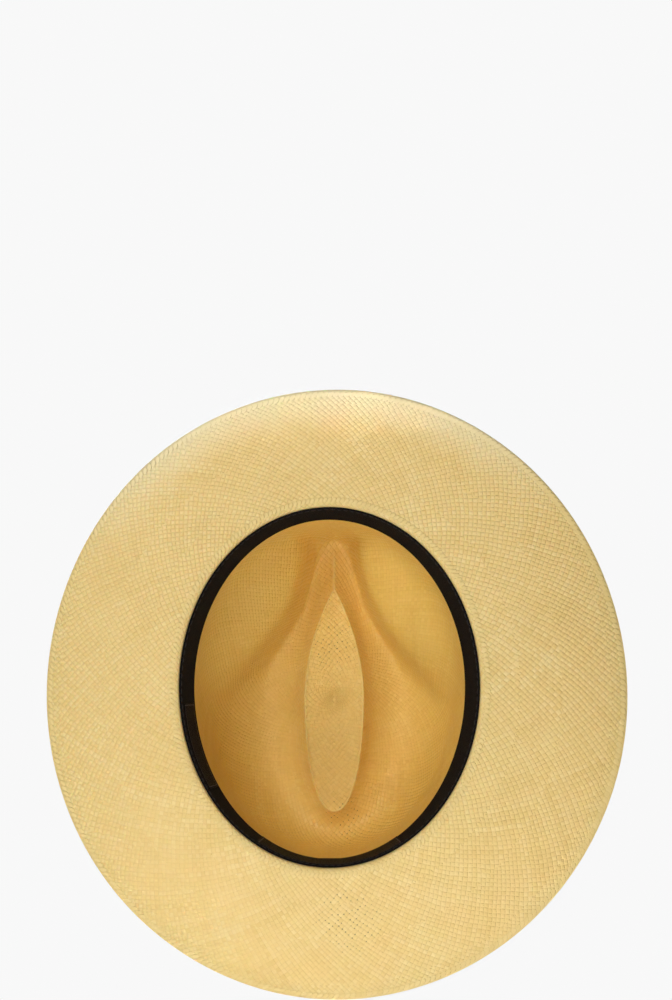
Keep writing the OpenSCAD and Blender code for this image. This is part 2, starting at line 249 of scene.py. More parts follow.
def fold_share(grid):
    """The straw is pressed into a sharp fold round the dent's floor, and forward of it up to the ridge."""
    from_fold = np.linalg.norm(grid - grid[len(FLOOR_ROWS)], axis=2)
    fold = np.exp(-(from_fold / CREASE_HALF) ** 2)
    from_middle = np.abs(grid[:, :, 0] - grid[:, :1, 0])
    up_prow = np.concatenate([np.zeros(len(FLOOR_ROWS)), smooth(*PROW_FADE, ROWS)])
    forward = up_prow[:, None] * (np.cos(ROUND) > PROW_WIDE)
    return np.maximum(fold, forward * np.exp(-(from_middle / CREASE_HALF) ** 2))


RIM_START = (0.86, 0.94)
straw_lift = STRAW_T + (RIM_T - STRAW_T) * smooth(*RIM_START, -ROWS)
outside = hand_shaped(np.concatenate([dent_floor(FLOOR_ROWS, ROUND, STRAW_T), skin(ROWS, ROUND, straw_lift)]))
inside = hand_shaped(np.concatenate([dent_floor(FLOOR_ROWS, ROUND, 0.0), skin(ROWS, ROUND, 0.0)]))
fold_outside, fold_inside = fold_share(outside), fold_share(inside)
outside[:, :, 2] -= CREASE_FOLD * fold_outside
inside[:, :, 2] -= CREASE_FOLD * fold_inside

# The brim's edge is round: half a turn from the upper to the lower face.
RIM_BULGE, RIM_TILT = 0.9, 0.1
RIM_TURNS = np.radians([30, 60, 90, 120, 150])
across = (outside[-1] - inside[-1]) / 2
outward = np.stack([np.sin(ROUND), -np.cos(ROUND), np.full_like(ROUND, RIM_TILT)], -1)
middle = (outside[-1] + inside[-1]) / 2
rim = np.stack([middle + across * math.cos(t) + outward * RIM_BULGE * math.sin(t) for t in RIM_TURNS])

# Strand numbers. Both sets of straws cross the rings at 45 degrees, and their count steps up where a ring
# has grown by a fifth. Around the crown's middle the rings are round, and on the wall they follow it.
STRAW_PITCH = 3.3
FIRST_RING = 60.0
RING_GROWTH = 1.19
RIM_STRAW_STEP = 0.12


def corners(grid):
    """The four corners of every cell of a grid."""
    return np.stack([grid[:-1, :-1], grid[1:, :-1], grid[1:, 1:], grid[:-1, 1:]], 2)


pole = np.array([DENT_SHIFT, DENT_MID, FLOOR_Z])
start = np.broadcast_to(pole, (1, len(ROUND), 3))
run = np.cumsum(np.linalg.norm(np.diff(np.concatenate([start, inside]), axis=0), axis=2), axis=0)
side_steps = np.linalg.norm(np.roll(inside, -1, 1) - inside, axis=2)
ring_length = side_steps.sum(1)
along_ring = (np.cumsum(side_steps, 1) - side_steps) / ring_length[:, None]
plan = np.unwrap(np.arctan2(inside[..., 0] - pole[0], -(inside[..., 1] - pole[1])), axis=1) / (2 * np.pi)
row_u = np.concatenate([np.full(len(FLOOR_ROWS), CREASE_U), ROWS])
settled = smooth(CREASE_U, FOOT_U, row_u)[:, None]
turn_share = plan * (1 - settled) + along_ring * settled
turn_share = np.concatenate([turn_share, 1 + turn_share[:, :1]], 1)
ring_run = run * (1 - settled) + run.mean(1, keepdims=True) * settled
mean_run = ring_run.mean(1)
mean_length = 2 * np.pi * mean_run * (1 - settled[:, 0]) + ring_length * settled[:, 0]
climb = np.concatenate([[0], np.cumsum(np.diff(mean_run) * 2 / (mean_length[1:] + mean_length[:-1]))])
ring_run = np.concatenate([ring_run, ring_run[:, :1]], 1)
spiral = np.interp(ring_run, mean_run, climb)
grown = np.interp(ring_run, mean_run, np.maximum.accumulate(mean_length))

m, n = inside.shape[:2]
ring_size = np.maximum(corners(grown).mean(-1), FIRST_RING) / FIRST_RING
ring_step = np.floor(np.log(ring_size) / math.log(RING_GROWTH))
straw_count = 2 * np.round(FIRST_RING * RING_GROWTH ** (ring_step + 0.5) / STRAW_PITCH / 2)
left_set = straw_count[..., None] * (corners(turn_share) + corners(spiral))
right_set = straw_count[..., None] * (corners(turn_share) - corners(spiral))
weave = np.stack([left_set, right_set], -1)

rows_in_all = np.concatenate([outside, rim, inside[::-1]])
index = np.arange(rows_in_all.shape[0] * n).reshape(-1, n)
index = np.concatenate([index, index[:, :1]], 1)
quads = corners(index)
rim_weave = np.repeat(weave[-1:, :, 1:2], 4, 2)
rim_steps = RIM_STRAW_STEP * np.arange(len(rim) + 1)
rim_weave = np.concatenate([rim_weave + np.array([step, -step]) for step in rim_steps])
under_weave = weave[::-1][:, :, [1, 0, 3, 2]]
loop_weave = np.concatenate([weave + np.array([1, 0]), rim_weave, under_weave])
points = np.concatenate([rows_in_all.reshape(-1, 3), [pole + [0, 0, STRAW_T], pole]])
top, under = len(points) - 2, len(points) - 1
caps = [(top, index[0, j], index[0, j + 1]) for j in range(n)]
caps += [(under, index[-1, j + 1], index[-1, j]) for j in range(n)]
both_ways = np.array([[1, 1], [1, -1]]) / STRAW_PITCH
cap_weave = [(points[k, :2] - pole[:2]) @ both_ways for cap in caps for k in cap]

# The straw's colour map: its first value is 1 on the crown's inner side, which is a deeper amber, partly the
# straw's own colour and partly painted bounce light; 0 on the rest; and below 0 at the front of the brim's
# edge, where the straw is paled as a painted highlight. Its second value paints a highlight along the dent's
# fold and forward of it.
FRONT_PAINT_SHARES = (0.62, 0.97)
FRONT_PAINT_ARC = (0.5, 0.95)
FRONT_PAINT_TURN = 0.1
DENT_AMBER_CUT = 0.25


# Painted highlight: the straw is paled towards the front of the brim's edge, on both faces.
def sun_bleached(share, a):
    return smooth(*FRONT_PAINT_SHARES, share) * smooth(*FRONT_PAINT_ARC, np.cos(a + FRONT_PAINT_TURN))


unbleached, fold_highlights = np.zeros(len(points)), np.zeros(len(points))
upper = index[:m, :-1]
round_edge = index[m:m + len(rim), :-1]
lower = index[m + len(rim):, :-1]
# A deeper amber on the crown's inner side, less of it towards the dent: partly the straw's own colour, partly
# painted bounce light.
amber_share = smooth(FOOT_U, BAND_U + 8, row_u) * (1 - DENT_AMBER_CUT * smooth(BAND_U + 50, CREASE_U, row_u))
front_paint = sun_bleached(-row_u[:, None], ROUND)
unbleached[upper] = -front_paint / 2
unbleached[round_edge] = -front_paint[-1]
unbleached[lower] = (amber_share[:, None] - front_paint)[::-1]
unbleached[under] = amber_share[0]
# Painted highlight along the dent's fold and forward of it, on both faces.
fold_highlights[upper] = fold_outside
fold_highlights[lower] = fold_inside[::-1]
straw_faces = list(quads.reshape(-1, 4)) + caps
straw = new_piece("straw_weave", points, straw_faces,
                  weave=np.concatenate([loop_weave.reshape(-1, 2), cap_weave]),
                  bleach=[(unbleached[k], fold_highlights[k]) for face in straw_faces for k in face])


def calc(tree, operation, *values):
    node = tree.nodes.new("ShaderNodeMath")
    node.operation = operation
    for socket, value in zip(node.inputs, values):
        plug(tree, socket, value)
    return node.outputs[0]


def plug(tree, socket, value):
    if isinstance(value, bpy.types.NodeSocket):
        tree.links.new(value, socket)
    else:
        socket.default_value = value


def mix(tree, share, first, second, how="MIX"):
    node = tree.nodes.new("ShaderNodeMix")
    node.data_type = "RGBA"
    node.blend_type = how
    plug(tree, node.inputs[0], share)
    plug(tree, node.inputs[6], first)
    plug(tree, node.inputs[7], second)
    return node.outputs[2]


def step_up(tree, value, low, high, to_low=0.0, to_high=1.0):
    node = tree.nodes.new("ShaderNodeMapRange")
    node.interpolation_type = "SMOOTHSTEP"
    for socket, number in zip(node.inputs, (value, low, high, to_low, to_high)):
        plug(tree, socket, number)
    return node.outputs[0]


def noise(tree, where, scale, detail=2.0):
    node = tree.nodes.new("ShaderNodeTexNoise")
    plug(tree, node.inputs["Vector"], where)
    plug(tree, node.inputs["Scale"], scale)
    plug(tree, node.inputs["Detail"], detail)
    return node.outputs[0]


def chance(tree, x, y):
    node = tree.nodes.new("ShaderNodeTexWhiteNoise")
    node.noise_dimensions = "2D"
    plug(tree, node.inputs["Vector"], vector(tree, x, y, 0.0))
    return node.outputs["Value"]


def vector(tree, x, y, z):
    node = tree.nodes.new("ShaderNodeCombineXYZ")
    for socket, value in zip(node.inputs, (x, y, z)):
        plug(tree, socket, value)
    return node.outputs[0]


def parts(tree, value):
    node = tree.nodes.new("ShaderNodeSeparateXYZ")
    plug(tree, node.inputs[0], value)
    return node.outputs[:]


def uv_of(tree, name):
    node = tree.nodes.new("ShaderNodeUVMap")
    node.uv_map = name
    return node.outputs[0]


def place_of(tree):
    return tree.nodes.new("ShaderNodeTexCoord").outputs["Object"]


def relief(tree, height, depth):
    node = tree.nodes.new("ShaderNodeBump")
    node.inputs["Strength"].default_value = 1.0
    node.inputs["Distance"].default_value = depth
    tree.links.new(height, node.inputs["Height"])
    return node.outputs[0]


def new_finish(name, roughness, specular):
    finish = bpy.data.materials.new(name)
    finish.use_nodes = True
    tree = finish.node_tree
    surface = tree.nodes["Principled BSDF"]
    surface.inputs["Roughness"].default_value = roughness
    surface.inputs["Specular IOR Level"].default_value = specular
    return finish, tree, surface


STRAW_PALE = (0.97, 0.765, 0.355, 1)
STRAW_MID = (0.92, 0.692, 0.277, 1)
STRAW_AMBER = (0.85, 0.615, 0.22, 1)
# Colour of the painted shade in the gaps between the straws.
STRAW_GAP_SHADE = (0.42, 0.24, 0.06, 1)
# Deeper amber of the crown's inner side: partly the straw's own colour, partly painted bounce light.
STRAW_INNER_AMBER = (1.0, 0.885, 0.51, 1)
# Colour of the painted highlight at the front of the brim's edge.
STRAW_PAINTED_HIGHLIGHT = (1.0, 0.85, 0.5, 1)
HIGHLIGHT_MIX = 0.8
# Colour of the painted shade seen through the small holes.
STRAW_HOLE_SHADE = (0.24, 0.135, 0.04, 1)
# Colour of the painted highlight along the dent's fold.
STRAW_FOLD_HIGHLIGHT = (1.0, 0.755, 0.275, 1)

# Places where the weave is loose enough to show small holes, and how far each one reaches.
LOOSE_SPOTS = (((0.011, 0.126, 0.005), 0.030), ((0.012, 0.078, 0.088), 0.026),
               ((0.002, -0.026, 0.088), 0.022))
HOLE_SIZE, HOLE_SOFT, HOLE_SHADE_MIX = 0.2, 0.04, 0.75
WANDER_SIZE, WANDER = 70.0, 0.9
SINK_AT_CROSSING = 0.45
STRAW_TONE, CROSSING_TONE, STREAK_TONE, PATCH_TONE, TONE_BASE = 0.35, 0.08, 0.9, 0.7, -0.45
STREAK_STEP, STREAK_APART = 0.31, 9.0
PATCH_SIZE, TIGHT_SIZE = 28.0, 260.0
FIBRES, FIBRE_DARK = 5.0, 0.22
GAP_SHADE_MIX = 0.22
FOLD_HIGHLIGHT_MIX = 0.85
GAP_ROUGH, STRAW_ROUGH = 0.7, 0.36
WEAVE_RELIEF = 0.00038

straw_finish, tree, surface = new_finish("woven_straw", 0.52, 0.3)
surface.inputs["Subsurface Weight"].default_value = 0.4
surface.inputs["Subsurface Radius"].default_value = (1.0, 0.6, 0.25)
surface.inputs["Subsurface Scale"].default_value = 0.001

# Two sets of straws cross over and under each other, and each wanders a little from its line.
left, right, _ = parts(tree, uv_of(tree, "weave"))
where = place_of(tree)
where_x, where_y, where_z = parts(tree, where)
elsewhere = vector(tree, where_y, where_z, where_x)
left = calc(tree, "MULTIPLY_ADD", noise(tree, where, WANDER_SIZE), WANDER, left)
right = calc(tree, "MULTIPLY_ADD", noise(tree, elsewhere, WANDER_SIZE), WANDER, right)
left_no, right_no = calc(tree, "FLOOR", left), calc(tree, "FLOOR", right)
left_in, right_in = calc(tree, "FRACT", left), calc(tree, "FRACT", right)
over = calc(tree, "FLOORED_MODULO", calc(tree, "ADD", left_no, right_no), 2.0)
swap = calc(tree, "SUBTRACT", right_in, left_in)
across_straw = calc(tree, "MULTIPLY_ADD", swap, over, left_in)
along_straw = calc(tree, "SUBTRACT", right_in, calc(tree, "MULTIPLY", swap, over))
side = calc(tree, "MULTIPLY_ADD", across_straw, 2.0, -1.0)
length = calc(tree, "MULTIPLY_ADD", along_straw, 2.0, -1.0)
side_2 = calc(tree, "MULTIPLY", side, side)
length_2 = calc(tree, "MULTIPLY", length, length)
rounded = calc(tree, "SUBTRACT", 1.0, calc(tree, "MULTIPLY", side_2, side_2))
arched = calc(tree, "SUBTRACT", 1.0, calc(tree, "MULTIPLY", length_2, SINK_AT_CROSSING))
height = calc(tree, "MULTIPLY", rounded, arched)

# Tones differ by straw, by crossing, in streaks of neighbouring straws and in wide patches.
straw_no = calc(tree, "MULTIPLY_ADD", calc(tree, "SUBTRACT", right_no, left_no), over, left_no)
streak_at = vector(tree, calc(tree, "MULTIPLY", straw_no, STREAK_STEP),
                   calc(tree, "MULTIPLY", over, STREAK_APART), 0.0)
mottle = calc(tree, "MULTIPLY_ADD", noise(tree, where, PATCH_SIZE, 3.0), PATCH_TONE, TONE_BASE)
mottle = calc(tree, "MULTIPLY_ADD", noise(tree, streak_at, 1.0), STREAK_TONE, mottle)
mottle = calc(tree, "MULTIPLY_ADD", chance(tree, left_no, right_no), CROSSING_TONE, mottle)
mottle = calc(tree, "MULTIPLY_ADD", chance(tree, straw_no, over), STRAW_TONE, mottle)
colour = mix(tree, step_up(tree, mottle, 0.1, 0.55), STRAW_AMBER, STRAW_MID)
colour = mix(tree, step_up(tree, mottle, 0.5, 1.0), colour, STRAW_PALE)
fibre_at = vector(tree, calc(tree, "MULTIPLY", across_straw, FIBRES),
                  calc(tree, "MULTIPLY_ADD", along_straw, 0.6, straw_no), over)
fibre = noise(tree, fibre_at, 1.6)
colour = mix(tree, calc(tree, "MULTIPLY", fibre, FIBRE_DARK), colour, STRAW_AMBER)

# Painted shade in the gaps between the straws and along each straw's rounded sides, varying in strength
# across the hat, and the small holes of loose places, painted dark as the shade seen through them.
loose_gap = step_up(tree, noise(tree, where, TIGHT_SIZE), 0.3, 0.7, 0.3, 1.0)
gap_shade = calc(tree, "MULTIPLY", step_up(tree, rounded, 0.0, 0.85, GAP_SHADE_MIX, 0.0), loose_gap)
colour = mix(tree, gap_shade, colour, STRAW_GAP_SHADE)
hole_x = calc(tree, "ABSOLUTE", calc(tree, "SUBTRACT", left_in, calc(tree, "ROUND", left_in)))
hole_y = calc(tree, "ABSOLUTE", calc(tree, "SUBTRACT", right_in, calc(tree, "ROUND", right_in)))
hole_far = calc(tree, "SQRT", calc(tree, "ADD", calc(tree, "MULTIPLY", hole_x, hole_x),
                                   calc(tree, "MULTIPLY", hole_y, hole_y)))
loose = 0.0
for spot, reach in LOOSE_SPOTS:
    far = tree.nodes.new("ShaderNodeVectorMath")
    far.operation = "DISTANCE"
    plug(tree, far.inputs[0], where)
    plug(tree, far.inputs[1], spot)
    loose = calc(tree, "MAXIMUM", loose, step_up(tree, far.outputs["Value"], 0.35 * reach, reach, 1.0, 0.0))
open_chance = chance(tree, calc(tree, "ROUND", left), calc(tree, "ROUND", right))
hole_size = calc(tree, "MULTIPLY", calc(tree, "MULTIPLY", open_chance, loose), HOLE_SIZE)
# Each hole is painted dark, as the shade seen through it.
hole_shade = step_up(tree, hole_far, calc(tree, "SUBTRACT", hole_size, HOLE_SOFT), hole_size, HOLE_SHADE_MIX, 0.0)
colour = mix(tree, hole_shade, colour, STRAW_HOLE_SHADE)

tint_channel, fold_channel, _ = parts(tree, uv_of(tree, "bleach"))
painted_pale = calc(tree, "MAXIMUM", calc(tree, "MULTIPLY", tint_channel, -HIGHLIGHT_MIX), 0.0)
# The crown's inner side turns a deeper amber: partly the straw's own colour, partly painted bounce light.
colour = mix(tree, calc(tree, "MAXIMUM", tint_channel, 0.0), colour, STRAW_INNER_AMBER, "MULTIPLY")
# Painted highlight: the straw is paled towards the front of the brim's edge.
colour = mix(tree, painted_pale, colour, STRAW_PAINTED_HIGHLIGHT)
# Painted highlight along the dent's fold.
colour = mix(tree, calc(tree, "MULTIPLY", fold_channel, FOLD_HIGHLIGHT_MIX), colour, STRAW_FOLD_HIGHLIGHT)
weave_height = calc(tree, "MULTIPLY_ADD", fibre, 0.15, height)
plug(tree, surface.inputs["Base Color"], colour)
plug(tree, surface.inputs["Roughness"], step_up(tree, height, 0.0, 1.0, GAP_ROUGH, STRAW_ROUGH))
plug(tree, surface.inputs["Normal"], relief(tree, weave_height, WEAVE_RELIEF))
straw.data.materials.append(straw_finish)
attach(straw, "hat")
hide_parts("straw_body")


# Rows of turned straw
# At the brim's break, next to the sweatband, and along its edge the straws turn over each other and
# stand up as a slanted row, like the strands of a rope. They are part of the weave.

ROW_RINGS, ROW_SIDES = 6, 8
ROW_TILT = 0.12
ROW_BLUNT = 0.02


def tube(first, rings, sides):
    """Faces of a closed tube, whose points run ring by ring from number first on, and for each of their
    corners the share along the tube and round it."""
    faces, shares = [], []
    for i in range(rings):
        for j in range(sides):
            j2 = (j + 1) % sides
            cell = ((i, j), (i, j2), (i + 1, j2), (i + 1, j))
            faces.append([first + ring * sides + side for ring, side in cell])
            shares += [(ring / rings, side / sides) for ring, side in cell]
    for i, order in ((0, -1), (rings, 1)):
        faces.append([first + i * sides + j for j in range(sides)][::order])
        shares += [(i / rings, 0)] * sides
    return faces, shares


def slanted_row(name, count, share, lift_side, length, width, thick, slant):
    """A row of short straws on the brim's lower (-1) or upper (+1) face, slanted across its share."""
    a = np.arange(count) / count * 2 * np.pi
    near = 0.002
    mid = straw_face(np.array([-share]), a)[0]
    out = straw_face(np.array([-share - near]), a)[0] - mid
    side = straw_face(np.array([-share]), a + near)[0] - mid
    out /= np.linalg.norm(out, axis=1, keepdims=True)
    side /= np.linalg.norm(side, axis=1, keepdims=True)
    up = np.cross(side, out)
    up *= np.sign(up[:, 2:]) * lift_side / np.linalg.norm(up, axis=1, keepdims=True)
    run = out * math.sin(slant) + side * math.cos(slant)
    wide = np.cross(up, run)
    mid[:, 2] += brim_wave(share, a)
    # Painted highlight towards the front of the brim's edge.
    pale = sun_bleached(share, a)
    points, faces, uvs, bleach = [], [], [], []
    for k in range(count):
        tube_faces, shares = tube(len(points), ROW_RINGS, ROW_SIDES)
        for t in np.linspace(-1, 1, ROW_RINGS + 1):
            fat = math.sqrt(max(1 - t * t, ROW_BLUNT))
            for b in np.linspace(0, 2 * np.pi, ROW_SIDES, endpoint=False):
                points.append(mid[k] + run[k] * t * length / 2 + wide[k] * math.cos(b) * width / 2 * fat
                              + up[k] * thick * (math.sin(b) / 2 * fat + ROW_TILT * t))
        faces += tube_faces
        uvs += [(k, along) for along, _ in shares]
        bleach += [(-pale[k], 0)] * len(shares)
    row = new_piece(name, points, faces, turn=uvs, bleach=bleach)
    row.data.materials.append(turned_finish)
    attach(row, "hat")


turned_finish, tree, surface = new_finish("turned_straw", 0.5, 0.35)
straw_no = parts(tree, uv_of(tree, "turn"))[0]
grain = noise(tree, place_of(tree), 900.0)
mottle = calc(tree, "MULTIPLY_ADD", grain, 0.35, calc(tree, "MULTIPLY", chance(tree, straw_no, 3.0), 0.3))
# Painted highlight: the rows are paled towards the front of the brim's edge.
painted_pale = calc(tree, "MULTIPLY", parts(tree, uv_of(tree, "bleach"))[0], -HIGHLIGHT_MIX)
colour = mix(tree, painted_pale, mix(tree, mottle, STRAW_AMBER, STRAW_PALE), STRAW_PAINTED_HIGHLIGHT)
plug(tree, surface.inputs["Base Color"], colour)
plug(tree, surface.inputs["Normal"], relief(tree, grain, 0.0001))
slanted_row("brim_break_row", 230, 0.02, -1, 3.2, 2.2, 0.35, math.radians(55))
for edge_name, lift_side in (("brim_edge_row", -1), ("brim_edge_row_top", 1)):
    slanted_row(edge_name, 330, 0.972, lift_side, 4.2, 2.7, 0.16, math.radians(38))


# Sweatband
# Black cotton herringbone twill tape, 30 mm wide, sewn round the foot of the crown along its lower edge.
# Its free upper edge stands slightly off the straw.

SEAM_U = FOOT_U + 3
TAPE_GAP = 1.7
TAPE_WAVES = ((0.22, 9, 1.0), (0.14, 17, 0.4), (0.05, 41, 0.0))
EDGE_DRAWN_IN = 0.0525


def tape_face(u, a, depth):
    """Points of the tape at height u: depth 0 is its face towards the straw."""
    u = np.asarray(u, float)
    share = np.clip((u - SEAM_U) / (BAND_U - SEAM_U), 0, None)
    return skin(u, a, -TAPE_GAP * share) - depth * straw_normal(np.array([BAND_U]), np.asarray(a, float))


def cloth_band(name, rows, uv_rows, closed=True):
    """A band from rows of points that run over its outer face and back over its inner face. Its uv holds
    millimetres along the band and up it."""
    rows = np.asarray(rows)
    m, n = rows.shape[:2]
    index = np.arange(m * n).reshape(m, n)
    index = np.concatenate([index, index[:1]])
    lengths = np.linalg.norm(np.diff(rows[m // 4], axis=0), axis=1)
    x = np.concatenate([[0], np.cumsum(lengths)])
    if closed:
        index = np.concatenate([index, index[:, :1]], 1)
        x = np.append(x, x[-1] + np.linalg.norm(rows[m // 4][0] - rows[m // 4][-1]))
    y = np.append(uv_rows, uv_rows[0])
    grid = np.stack(np.broadcast_arrays(x[None, :], y[:, None]), -1)
    faces, uvs = list(corners(index).reshape(-1, 4)), list(corners(grid).reshape(-1, 2))
    if not closed:
        for j, order in ((0, 1), (n - 1, -1)):
            faces.append(list(index[:-1, j])[::order])
            uvs += [(x[j], v) for v in y[:-1][::order]]
    return new_piece(name, rows.reshape(-1, 3), faces, run=uvs)


def two_faces(u_low, u_high, steps, thick, face):
    """Rows up the outer face and back down the inner face, a little drawn in at both edges."""
    heights = np.linspace(u_low, u_high, steps)
    drawn_in = np.zeros(steps)
    drawn_in[[0, -1]] = EDGE_DRAWN_IN * thick
    rows = [face(u, d) for u, d in zip(heights, drawn_in)]
    rows += [face(u, thick - d) for u, d in zip(heights[::-1], drawn_in)]
    return np.array(rows), np.concatenate([heights, heights[::-1]])


def tape_row(u, depth):
    """A row round the tape. Its free edge isn't quite even."""
    free = max(0.0, (u - SEAM_U) / (BAND_U - SEAM_U)) ** 2
    row = tape_face([u], ROUND, depth)[0]
    row[:, 2] += free * sum(h * np.sin(k * ROUND + phase) for h, k, phase in TAPE_WAVES)
    return row


rows, heights = two_faces(FOOT_U, BAND_U, 15, TAPE_T, tape_row)
tape = cloth_band("sweatband_tape", rows, heights)

twill_finish, tree, surface = new_finish("herringbone_twill", 0.9, 0.06)
TWILL_PITCH = 1.25
YARN_PITCH, YARN_SLANT = 0.62, 0.35
TWILL_DARK = (0.0025, 0.0018, 0.0016, 1)
TWILL_LIT_CREST = (0.026, 0.021, 0.02, 1)
x, y, _ = parts(tree, uv_of(tree, "run"))
from_spine = calc(tree, "ABSOLUTE", calc(tree, "SUBTRACT", y, FOOT_U + TAPE_W / 2))
rib_run = calc(tree, "DIVIDE", calc(tree, "ADD", x, from_spine), TWILL_PITCH * math.sqrt(2))
rib_no = calc(tree, "FLOOR", rib_run)
rib_in = calc(tree, "MULTIPLY_ADD", calc(tree, "FRACT", rib_run), 2.0, -1.0)
rib = calc(tree, "SUBTRACT", 1.0, calc(tree, "MULTIPLY", rib_in, rib_in))
yarn_run = calc(tree, "SUBTRACT", from_spine, calc(tree, "MULTIPLY", x, YARN_SLANT))
yarn_run = calc(tree, "DIVIDE", yarn_run, YARN_PITCH)
yarn_in = calc(tree, "MULTIPLY_ADD", calc(tree, "FRACT", yarn_run), 2.0, -1.0)
yarn = calc(tree, "SUBTRACT", 1.0, calc(tree, "MULTIPLY", calc(tree, "MULTIPLY", yarn_in, yarn_in), 0.6))
height = calc(tree, "MULTIPLY", rib, yarn)
fuzz = noise(tree, place_of(tree), 1500.0, 3.0)
tone = calc(tree, "MULTIPLY_ADD", chance(tree, rib_no, calc(tree, "FLOOR", yarn_run)), 0.35,
            calc(tree, "MULTIPLY", fuzz, 0.6))
# Painted light and shade: paler on the crests of ribs and yarns, darker in the hollows between them, scaled
# by a random yarn tone.
colour = mix(tree, calc(tree, "MULTIPLY", height, tone), TWILL_DARK, TWILL_LIT_CREST)
plug(tree, surface.inputs["Base Color"], colour)
plug(tree, surface.inputs["Normal"], relief(tree, calc(tree, "MULTIPLY_ADD", fuzz, 0.25, height), 0.0003))
tape.data.materials.append(twill_finish)
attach(tape, "hat")
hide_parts("sweatband")


# Sweatband stitches
# One row of black two-ply thread along the tape's lower edge, which holds it to the straw. Each stitch
# comes up out of the tape and goes down into it again.

THREAD_RINGS, THREAD_SIDES = 6, 6
THREAD_TURNS = 2
PLY_SHADE = 0.45
THREAD_D = 0.5
TAPE_STITCHES = 144


def stitches(name, ends, diameter, colour, node, slack):
    """Short threads between pairs of points, each bowed up by slack towards the third vector."""
    points, faces, uvs = [], [], []
    for start, end, up in ends:
        way = (end - start) / np.linalg.norm(end - start)
        up = up - way * (up @ way)
        up /= np.linalg.norm(up)
        side = np.cross(way, up)
        tube_faces, shares = tube(len(points), THREAD_RINGS, THREAD_SIDES)
        for i in range(THREAD_RINGS + 1):
            t = i / THREAD_RINGS
            fat = diameter / 2 * (0.55 + 0.45 * math.sin(math.pi * t) ** 0.5 if 0 < t < 1 else 0.4)
            mid = start + (end - start) * t + up * slack * (1 - (2 * t - 1) ** 2)
            for b in np.linspace(0, 2 * np.pi, THREAD_SIDES, endpoint=False):
                points.append(mid + (side * math.cos(b) + up * math.sin(b)) * fat)
        faces += tube_faces
        uvs += [(turn, along) for along, turn in shares]
    row = new_piece(name, points, faces, thread=uvs)
    finish, tree, surface = new_finish(name + "_thread", 0.6, 0.4)
    x, y, _ = parts(tree, uv_of(tree, "thread"))
    ply_run = calc(tree, "ADD", calc(tree, "MULTIPLY", y, 4.0), x)
    twist = calc(tree, "SINE", calc(tree, "MULTIPLY", ply_run, 2 * math.pi * THREAD_TURNS))
    # Painted shade in the groove between the two plies, along the twist.
    shaded_ply = tuple(c * PLY_SHADE for c in colour[:3]) + (1,)
    plug(tree, surface.inputs["Base Color"], mix(tree, step_up(tree, twist, -1.0, 1.0), shaded_ply, colour))
    plug(tree, surface.inputs["Normal"], relief(tree, twist, 0.00008))
    row.data.materials.append(finish)
    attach(row, "hat")
    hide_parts(node)


def seam(a_from, a_to, u_from, u_to, depth):
    """Ends of a stitch on the tape's inner face, and the way out of the tape."""
    start = tape_face([u_from], [a_from], depth)[0, 0]
    end = tape_face([u_to], [a_to], depth)[0, 0]
    return start, end, -straw_normal(np.array([BAND_U]), np.array([(a_from + a_to) / 2]))[0, 0]


seam_u = FOOT_U + 1.5
stitch_step = 2 * math.pi / TAPE_STITCHES
tape_seam = [seam((k + 0.14) * stitch_step, (k + 0.86) * stitch_step, seam_u, seam_u, TAPE_T)
             for k in range(TAPE_STITCHES)]
stitches("sweatband_seam", tape_seam, THREAD_D, (0.012, 0.011, 0.011, 1), "sweatband_stitches", 0.25)


# Labels
# Two woven labels of black satin lie on the tape, a large one at the back and a small one on the wearer's
# right. They are blank, with a thin woven line as a border.

LABEL_T = 0.35
BACK_LABEL = (150, 210, BAND_U - 24.5, BAND_U - 0.5)
SIDE_LABEL = (235, 265, BAND_U - 23, BAND_U - 3)
BORDER_INSET, BORDER_HALF = 1.3, 0.16
DASH_PITCH, DASH_GAP = 0.7, 0.25
WARP_PITCH = 0.33
FLOAT_LENGTH, FLOAT_STEP = 1.1, 0.37
LABEL_DARK = (0.0025, 0.002, 0.003, 1)
LABEL_SHEEN = (0.008, 0.006, 0.009, 1)
LABEL_BORDER = (0.13, 0.115, 0.11, 1)


